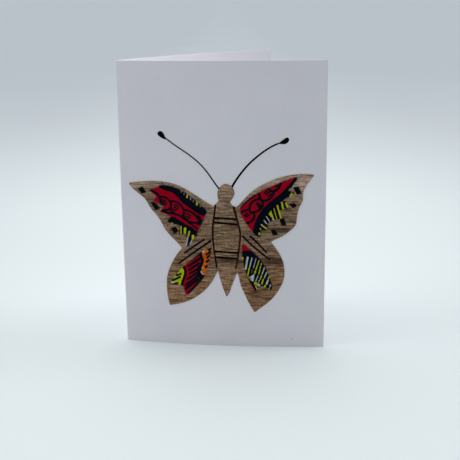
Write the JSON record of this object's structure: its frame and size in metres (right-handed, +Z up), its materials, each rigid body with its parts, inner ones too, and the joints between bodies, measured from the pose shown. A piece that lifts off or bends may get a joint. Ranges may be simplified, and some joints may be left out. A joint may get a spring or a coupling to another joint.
{
  "type": "greeting card",
  "caption": "Folded upright greeting card standing open in a V, with a cut banana fibre butterfly, patched with printed cotton, glued on its front.",
  "frame": {"origin": "under the middle of the bounding box, on the surface that the card stands on", "axes": "+Z up along the fold; +X along the chord of the decorated front panel, from the fold to its free edge; the decorated face looks towards -Y"},
  "size_m": [0.1044, 0.0792, 0.148],
  "materials": {
    "card": "smooth matt card stock, off-white",
    "fibre": "dried banana fibre sheet with fine horizontal strands",
    "red_cloth": "printed cotton, red ground",
    "black_cloth": "printed cotton, black",
    "black_print": "black print on cotton",
    "yellow_print": "yellow print on cotton",
    "orange_print": "orange print on cotton",
    "white_print": "undyed cotton",
    "red_print": "red print on cotton",
    "bark": "dark banana bark sliver, slightly glossy"
  },
  "bodies": {
    "root": {"folded_card": "card", "butterfly_cutout": "fibre", "left_forewing_cloth": "red_cloth", "left_forewing_black_print": "black_print", "left_forewing_yellow_print": "yellow_print", "left_forewing_white_print": "white_print", "right_forewing_cloth": "red_cloth", "right_forewing_black_print": "black_print", "right_forewing_yellow_print": "yellow_print", "right_forewing_white_print": "white_print", "left_hindwing_cloth": "red_cloth", "left_hindwing_black_print": "black_print", "left_hindwing_orange_print": "orange_print", "left_hindwing_yellow_print": "yellow_print", "left_hindwing_white_print": "white_print", "right_hindwing_cloth": "black_cloth", "right_hindwing_red_print": "red_print", "right_hindwing_yellow_print": "yellow_print", "right_hindwing_white_print": "white_print", "left_side_sliver": "bark", "right_side_sliver": "bark", "upper_crossbar": "bark", "second_crossbar": "bark", "third_crossbar": "bark", "lower_crossbar": "bark", "left_upper_wing_sliver": "bark", "left_lower_wing_sliver": "bark", "right_upper_wing_sliver": "bark", "right_lower_wing_sliver": "bark", "left_tip_snippet": "black_cloth", "left_edge_snippet": "black_cloth", "left_lower_snippet": "black_cloth", "right_tip_snippet": "black_cloth", "right_edge_snippet": "black_cloth", "right_middle_snippet": "black_cloth", "right_lower_snippet": "black_cloth", "left_antenna": "bark", "right_antenna": "bark"}
  },
  "joints": []
}
